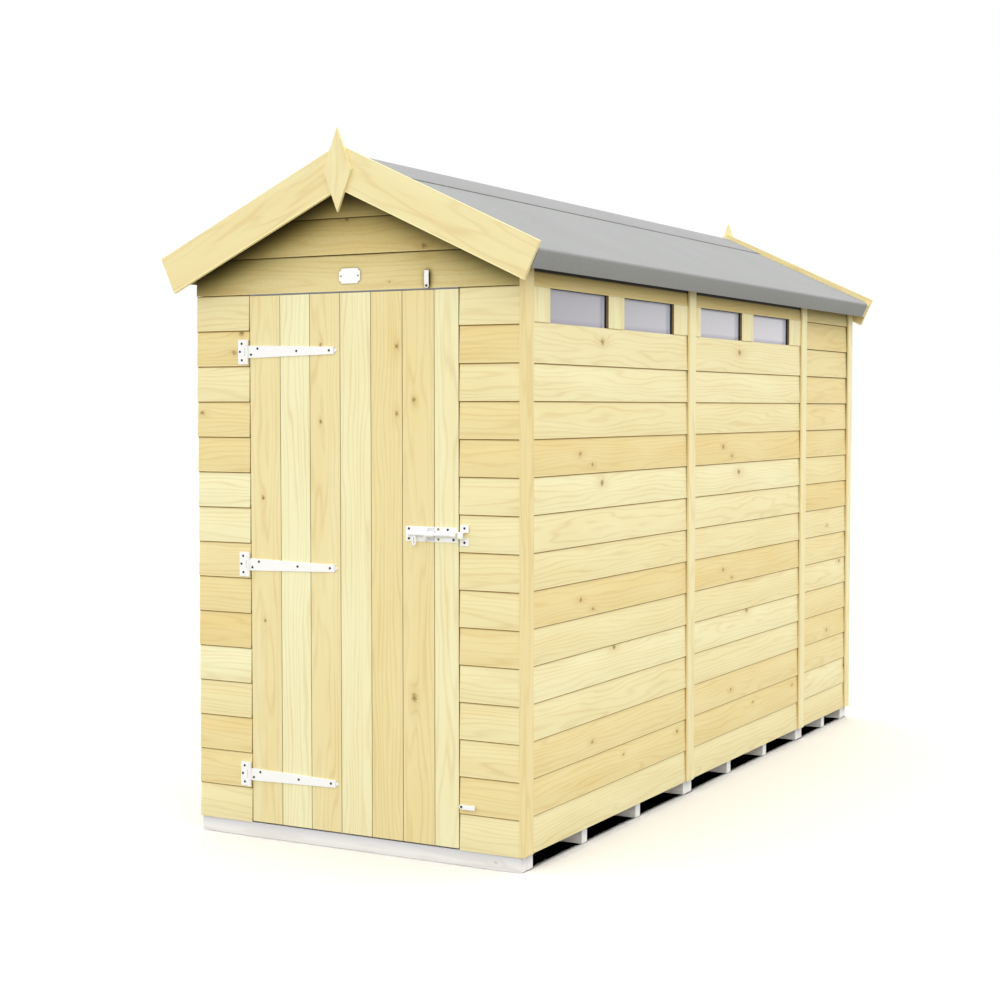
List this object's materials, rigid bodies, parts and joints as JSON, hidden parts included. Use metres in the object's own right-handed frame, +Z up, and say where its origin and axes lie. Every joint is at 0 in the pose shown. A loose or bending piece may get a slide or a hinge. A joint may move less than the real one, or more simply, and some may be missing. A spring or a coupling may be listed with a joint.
{
  "type": "wooden garden shed",
  "caption": "Narrow apex garden shed of overlap boards on bearers, with a hinged plank door in the gable, high side windows and a felted roof.",
  "frame": {"origin": "middle of the whole shed's box, on the ground under the bearers", "axes": "+Z up; -Y is the door gable; +X is the side with the windows; length runs along Y"},
  "size_m": [1.3736, 3.249, 2.2319],
  "materials": {
    "wall_boards": "planed pressure-treated softwood",
    "framing": "planed softwood",
    "trim": "planed pressure-treated softwood",
    "floor_boards": "planed softwood",
    "roof_boards": "planed softwood",
    "bearers": "sawn pale softwood",
    "roofing_felt": "mineral-faced bitumen felt",
    "glazing": "clear acrylic sheet",
    "door_boards": "planed pressure-treated softwood",
    "hardware": "white enamel on pressed steel"
  },
  "bodies": {
    "shed": {"front_left_wall": "wall_boards", "front_right_wall": "wall_boards", "front_gable": "wall_boards", "rear_wall": "wall_boards", "right_front_wall": "wall_boards", "right_middle_wall": "wall_boards", "right_rear_wall": "wall_boards", "left_front_wall": "wall_boards", "left_middle_wall": "wall_boards", "left_rear_wall": "wall_boards", "window_posts": "wall_boards", "window_heads": "wall_boards", "front_studs": "framing", "rear_studs": "framing", "gable_rails": "framing", "gable_rafters": "framing", "right_studs": "framing", "right_rails": "framing", "left_studs": "framing", "left_rails": "framing", "eaves_rails": "framing", "purlins": "framing", "corner_trims": "trim", "cover_strips": "trim", "front_left_barge": "trim", "front_right_barge": "trim", "rear_left_barge": "trim", "rear_right_barge": "trim", "front_finial": "trim", "rear_finial": "trim", "front_floor": "floor_boards", "middle_floor": "floor_boards", "rear_floor": "floor_boards", "left_roof": "roof_boards", "right_roof": "roof_boards", "bearers": "bearers", "left_felt": "roofing_felt", "right_felt": "roofing_felt", "ridge_cap": "roofing_felt", "window_panes": "glazing", "hinge_plates": "hardware", "bolt_keep": "hardware", "button_spacers": "hardware"},
    "door": {"door_leaf": "door_boards", "door_ledges": "door_boards", "door_braces": "door_boards", "hinge_straps": "hardware", "bolt_plate": "hardware"},
    "bolt": {"bolt_rod": "hardware"},
    "upper_turn": {"top_button": "hardware"},
    "lower_turn": {"lower_button": "hardware"}
  },
  "joints": [
    {"name": "door_hinge", "type": "hinge", "parent": "shed", "child": "door", "pos_m": [-0.395, -1.552, 0.882], "axis": [0, 0, -1], "range_deg": [0, 110]},
    {"name": "bolt_slide", "type": "slide", "parent": "door", "child": "bolt", "axis": [1, 0, 0], "range_m": [0, 0.028]},
    {"name": "top_button_turn", "type": "hinge", "parent": "shed", "child": "upper_turn", "pos_m": [0.273, -1.5515, 1.75], "axis": [0, 1, 0], "range_deg": [0, 180]},
    {"name": "lower_button_turn", "type": "hinge", "parent": "shed", "child": "lower_turn", "pos_m": [0.3915, -1.5515, 0.181], "axis": [0, 1, 0], "range_deg": [0, 180]}
  ]
}
